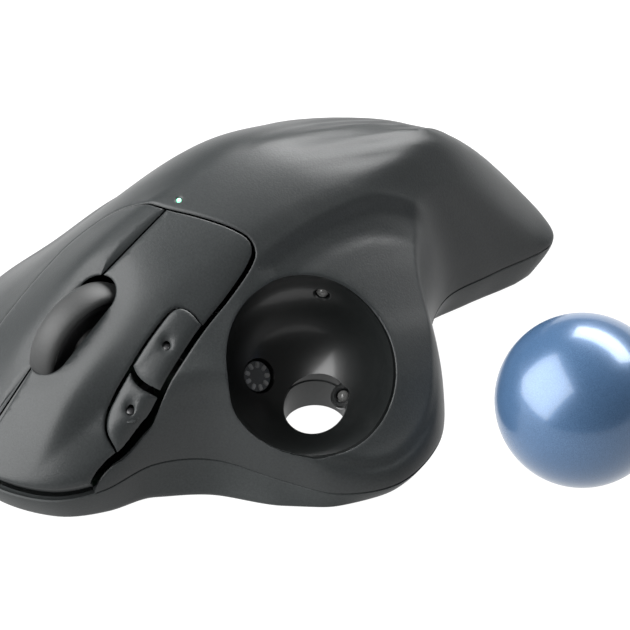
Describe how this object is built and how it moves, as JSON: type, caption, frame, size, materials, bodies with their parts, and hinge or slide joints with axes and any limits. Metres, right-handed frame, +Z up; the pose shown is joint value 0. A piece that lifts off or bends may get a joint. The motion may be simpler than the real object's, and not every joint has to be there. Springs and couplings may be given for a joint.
{
  "type": "trackball mouse",
  "caption": "Right-handed thumb trackball mouse with two main keys, scroll wheel, two edge keys and its ball lying out of the socket beside it.",
  "frame": {"origin": "on the table, under the centre of the box round the mouse and its ball", "axes": "+Z up, +Y towards the keys' front edge, +X to the right of the user"},
  "size_m": [0.1328, 0.1292, 0.0476],
  "materials": {
    "graphite": "fine satin texture",
    "base_plastic": "fine satin texture",
    "socket_gloss": "gloss",
    "ceramic_bead": "polished ceramic",
    "clear_lens": "clear window",
    "black_plastic": "satin",
    "board_green": "solder resist",
    "ribbon": "polyimide film",
    "white_plastic": "satin",
    "status_lamp": "lit light pipe",
    "cell_jacket": "printed film",
    "steel": "plated",
    "foot_pad": "low friction",
    "wheel_rubber": "smooth rubber",
    "ball_blue": "pearl gloss"
  },
  "bodies": {
    "housing": {"top_shell": "graphite", "bottom_shell": "base_plastic", "ball_socket": "socket_gloss", "bearing_rear": "ceramic_bead", "bearing_front": "ceramic_bead", "bearing_lower": "ceramic_bead", "sensor_lens": "clear_lens", "sensor_chip": "black_plastic", "sensor_board": "board_green", "ribbon_cable": "ribbon", "main_board": "board_green", "left_switch": "black_plastic", "right_switch": "black_plastic", "middle_switch": "black_plastic", "side_board": "board_green", "back_switch": "black_plastic", "forward_switch": "black_plastic", "wheel_encoder": "white_plastic", "status_lens": "status_lamp", "battery_cell": "cell_jacket", "contact_front": "steel", "contact_rear": "steel", "usb_receiver": "black_plastic", "foot_front": "foot_pad", "foot_left": "foot_pad", "foot_rear": "foot_pad", "foot_right": "foot_pad", "foot_notch": "foot_pad", "screw_front": "steel", "screw_rear": "steel", "screw_right": "steel"},
    "left_key": {"left_button": "graphite"},
    "right_key": {"right_button": "graphite"},
    "back_key": {"back_button": "graphite"},
    "forward_key": {"forward_button": "graphite"},
    "wheel_cradle": {"wheel_carrier": "black_plastic"},
    "scroll_wheel": {"wheel_tyre": "wheel_rubber", "wheel_hub": "black_plastic", "wheel_axle": "steel"},
    "ball": {"trackball": "ball_blue"},
    "switch_slider": {"power_switch": "black_plastic"},
    "pairing_button": {"connect_button": "black_plastic"},
    "cell_door": {"battery_door": "base_plastic"}
  },
  "joints": [
    {"name": "left_click", "type": "hinge", "parent": "housing", "child": "left_key", "pos_m": [0.02767, 0.0137, 0.033], "axis": [-1, 0, 0], "range_deg": [0, 0.75], "stiffness_Nm_per_rad": 0.8, "springref_deg": -1.15},
    {"name": "right_click", "type": "hinge", "parent": "housing", "child": "right_key", "pos_m": [0.02767, 0.0137, 0.033], "axis": [-1, 0, 0], "range_deg": [0, 0.75], "stiffness_Nm_per_rad": 0.8, "springref_deg": -1.15},
    {"name": "back_click", "type": "hinge", "parent": "housing", "child": "back_key", "pos_m": [0.01463, 0.0388, 0.03], "axis": [0, -1, 0], "range_deg": [0, 1.4], "stiffness_Nm_per_rad": 0.05, "springref_deg": -2.86},
    {"name": "forward_click", "type": "hinge", "parent": "housing", "child": "forward_key", "pos_m": [0.01463, 0.0388, 0.03], "axis": [0, -1, 0], "range_deg": [0, 1.4], "stiffness_Nm_per_rad": 0.05, "springref_deg": -2.86},
    {"name": "wheel_click", "type": "slide", "parent": "housing", "child": "wheel_cradle", "axis": [0, 0, -1], "range_m": [0, 0.0006], "stiffness_N_per_m": 1500, "springref_m": -0.0004},
    {"name": "wheel_spin", "type": "hinge", "parent": "wheel_cradle", "child": "scroll_wheel", "pos_m": [0.02953, 0.0363, 0.0252], "axis": [0.9903, -0.1392, 0], "continuous": true},
    {"name": "ball_lift", "type": "hinge", "parent": "housing", "child": "ball", "pos_m": [-0.0216, -0.01049, 0.01083], "axis": [-0.3568, 0.6226, -0.6964], "range_deg": [0, 130.88]},
    {"name": "power_slide", "type": "slide", "parent": "housing", "child": "switch_slider", "axis": [0, 1, 0], "range_m": [0, 0.0035]},
    {"name": "pairing_press", "type": "slide", "parent": "housing", "child": "pairing_button", "axis": [0, 0, 1], "range_m": [0, 0.0005], "stiffness_N_per_m": 400, "springref_m": -0.0002},
    {"name": "door_lift_off", "type": "slide", "parent": "housing", "child": "cell_door", "axis": [0, 0, -1], "range_m": [0, 0.02]}
  ]
}
